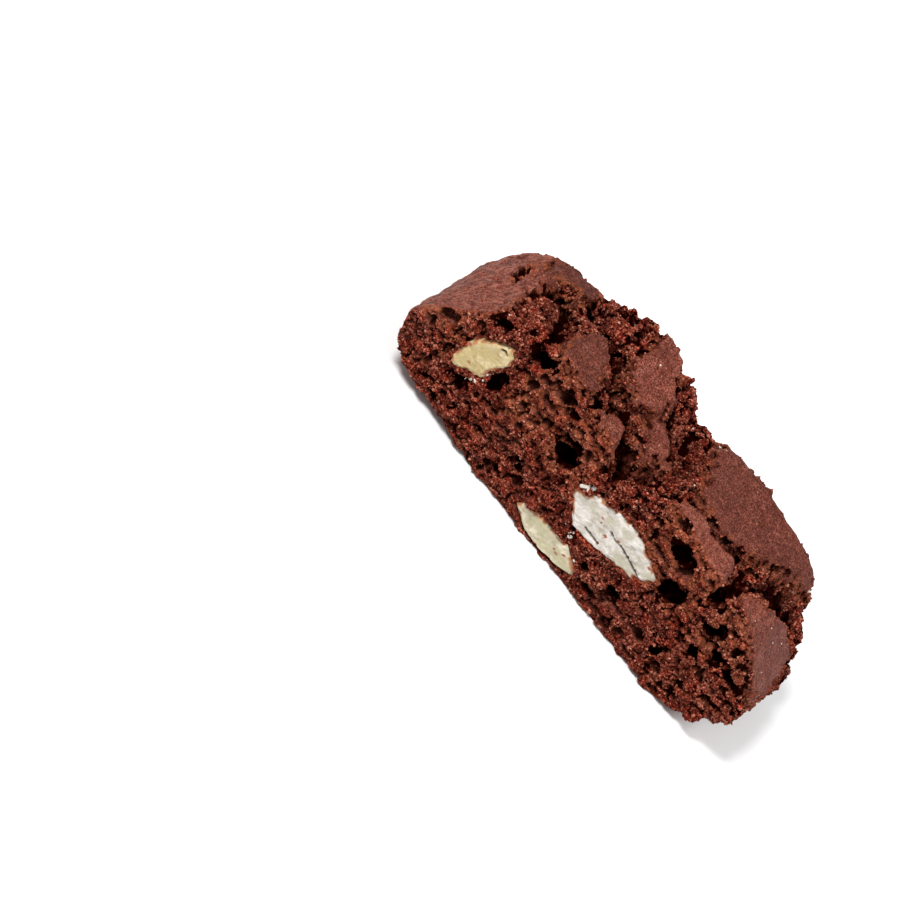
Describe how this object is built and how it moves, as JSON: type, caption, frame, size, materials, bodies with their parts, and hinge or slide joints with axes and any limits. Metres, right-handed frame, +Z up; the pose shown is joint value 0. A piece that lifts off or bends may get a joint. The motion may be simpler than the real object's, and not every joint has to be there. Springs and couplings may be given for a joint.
{
  "type": "chocolate almond biscotto slice",
  "caption": "Twice-baked chocolate almond biscuit slice with a cracked top crust and cut almonds showing.",
  "frame": {"origin": "centre of the box round the slice, at its flat underside", "axes": "+X along the slice towards its crumbly end, -Y out of the cut face shown, +Z up to the cracked crust"},
  "size_m": [0.0905, 0.0227, 0.0345],
  "materials": {
    "biscuit": "baked chocolate crumb, satin on the crust",
    "almond": "cut roasted almond"
  },
  "bodies": {
    "root": {"biscuit": "biscuit", "almond_upper": "almond", "almond_large": "almond", "almond_lower": "almond", "almond_back_left": "almond", "almond_back_right": "almond"}
  },
  "joints": []
}
